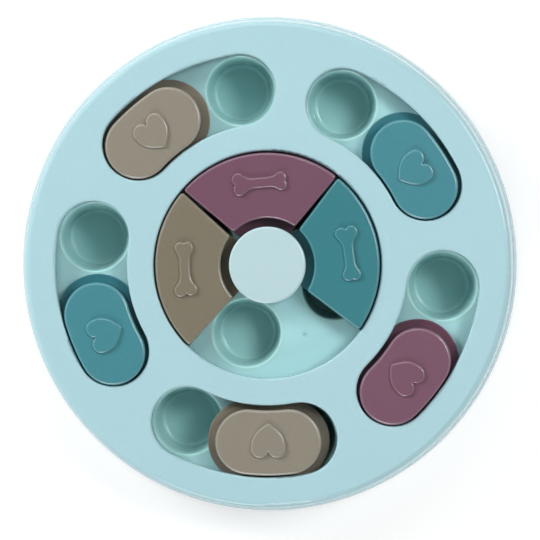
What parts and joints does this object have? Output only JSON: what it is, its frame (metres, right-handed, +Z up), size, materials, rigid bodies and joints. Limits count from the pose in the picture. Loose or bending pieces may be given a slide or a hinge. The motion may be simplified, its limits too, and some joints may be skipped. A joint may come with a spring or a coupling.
{
  "type": "dog puzzle feeder toy",
  "caption": "Flat round treat puzzle for dogs: kidney-shaped covers slide along slots and quarter lids swivel round a hub to hide and uncover small food cups.",
  "frame": {"origin": "on the resting surface, under the hub, at the centre of the round base", "axes": "+Z up out of the toy's face, +Y towards the top edge of the toy as pictured, +X to its right"},
  "size_m": [0.2458, 0.2458, 0.0334],
  "materials": {
    "aqua_plastic": "satin moulded polypropylene, pale aqua",
    "pale_aqua_plastic": "satin moulded polypropylene, a little paler aqua",
    "teal_plastic": "satin moulded polypropylene, muted teal",
    "plum_plastic": "satin moulded polypropylene, muted plum",
    "taupe_plastic": "satin moulded polypropylene, warm grey taupe",
    "screw_steel": "zinc-plated steel",
    "foot_rubber": "soft pale grey rubber"
  },
  "bodies": {
    "base": {"base_tray": "aqua_plastic", "outer_cups": "aqua_plastic", "inner_cups": "aqua_plastic", "top_cover": "aqua_plastic", "hub_knob": "pale_aqua_plastic", "hub_screw": "screw_steel", "case_screw_1": "screw_steel", "case_screw_2": "screw_steel", "case_screw_3": "screw_steel", "case_screw_4": "screw_steel", "case_screw_5": "screw_steel", "rubber_foot_1": "foot_rubber", "rubber_foot_2": "foot_rubber", "rubber_foot_3": "foot_rubber", "rubber_foot_4": "foot_rubber", "rubber_foot_5": "foot_rubber"},
    "slider_a": {"slider_a_taupe": "taupe_plastic"},
    "slider_b": {"slider_b_teal": "teal_plastic"},
    "slider_c": {"slider_c_plum": "plum_plastic"},
    "slider_d": {"slider_d_taupe": "taupe_plastic"},
    "slider_e": {"slider_e_teal": "teal_plastic"},
    "sector_taupe_lid": {"sector_taupe": "taupe_plastic"},
    "sector_plum_lid": {"sector_plum": "plum_plastic"},
    "sector_teal_lid": {"sector_teal": "teal_plastic"}
  },
  "joints": [
    {"name": "slider_a_slide", "type": "hinge", "parent": "base", "child": "slider_a", "pos_m": [0, 0, 0.0225], "axis": [0, 0, 1], "range_deg": [-25.84, 0]},
    {"name": "slider_b_slide", "type": "hinge", "parent": "base", "child": "slider_b", "pos_m": [0, 0, 0.0225], "axis": [0, 0, 1], "range_deg": [0, 25.84]},
    {"name": "slider_c_slide", "type": "hinge", "parent": "base", "child": "slider_c", "pos_m": [0, 0, 0.0225], "axis": [0, 0, 1], "range_deg": [0, 25.84]},
    {"name": "slider_d_slide", "type": "hinge", "parent": "base", "child": "slider_d", "pos_m": [0, 0, 0.0225], "axis": [0, 0, 1], "range_deg": [-21.22, 4.62]},
    {"name": "slider_e_slide", "type": "hinge", "parent": "base", "child": "slider_e", "pos_m": [0, 0, 0.0225], "axis": [0, 0, 1], "range_deg": [-25.84, 0]},
    {"name": "sector_ring_turn", "type": "hinge", "parent": "base", "child": "sector_taupe_lid", "pos_m": [0, 0, 0.0225], "axis": [0, 0, 1], "continuous": true},
    {"name": "sector_plum_swivel", "type": "hinge", "parent": "sector_taupe_lid", "child": "sector_plum_lid", "pos_m": [0, 0, 0.0225], "axis": [0, 0, -1], "range_deg": [0, 96.5]},
    {"name": "sector_teal_swivel", "type": "hinge", "parent": "sector_plum_lid", "child": "sector_teal_lid", "pos_m": [0, 0, 0.0225], "axis": [0, 0, 1], "range_deg": [-96.5, 0]}
  ]
}
